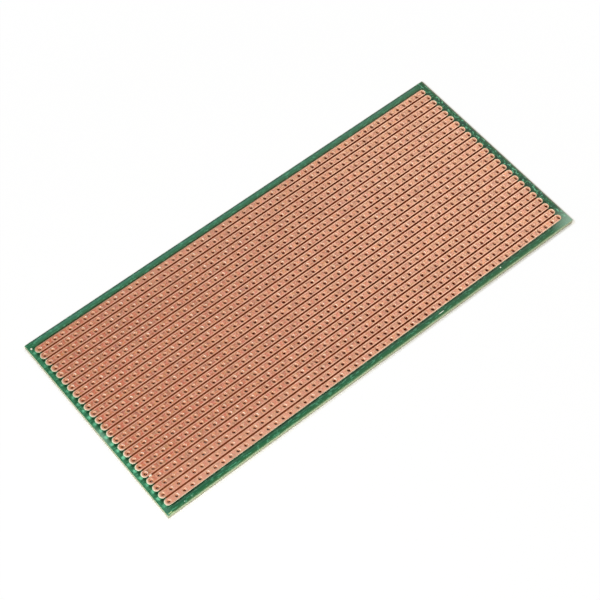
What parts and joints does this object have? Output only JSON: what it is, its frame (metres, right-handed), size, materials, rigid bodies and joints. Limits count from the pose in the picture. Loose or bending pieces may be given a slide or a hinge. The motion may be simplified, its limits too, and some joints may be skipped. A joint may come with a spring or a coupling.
{
  "type": "prototype board",
  "caption": "Flat rectangular stripboard drilled on a square grid, with parallel round-ended copper strips that join the holes into rows for soldering parts by hand.",
  "frame": {"origin": "centre of the bare face that the board rests on", "axes": "+X along the copper strips, +Z straight out of the copper side"},
  "size_m": [0.145, 0.065, 0.0016],
  "materials": {
    "laminate": "pale cream glass-epoxy sheet, matt, with sawn edges and drilled holes",
    "solder_mask": "green cured solder mask, glossy, slightly uneven",
    "copper": "salmon-pink bare copper under a thin clear flux coat, lightly mottled"
  },
  "bodies": {
    "root": {"laminate": "laminate", "solder_mask": "solder_mask", "copper_strip_01": "copper", "copper_strip_02": "copper", "copper_strip_03": "copper", "copper_strip_04": "copper", "copper_strip_05": "copper", "copper_strip_06": "copper", "copper_strip_07": "copper", "copper_strip_08": "copper", "copper_strip_09": "copper", "copper_strip_10": "copper", "copper_strip_11": "copper", "copper_strip_12": "copper", "copper_strip_13": "copper", "copper_strip_14": "copper", "copper_strip_15": "copper", "copper_strip_16": "copper", "copper_strip_17": "copper", "copper_strip_18": "copper", "copper_strip_19": "copper", "copper_strip_20": "copper", "copper_strip_21": "copper", "copper_strip_22": "copper", "copper_strip_23": "copper", "copper_strip_24": "copper"}
  },
  "joints": []
}
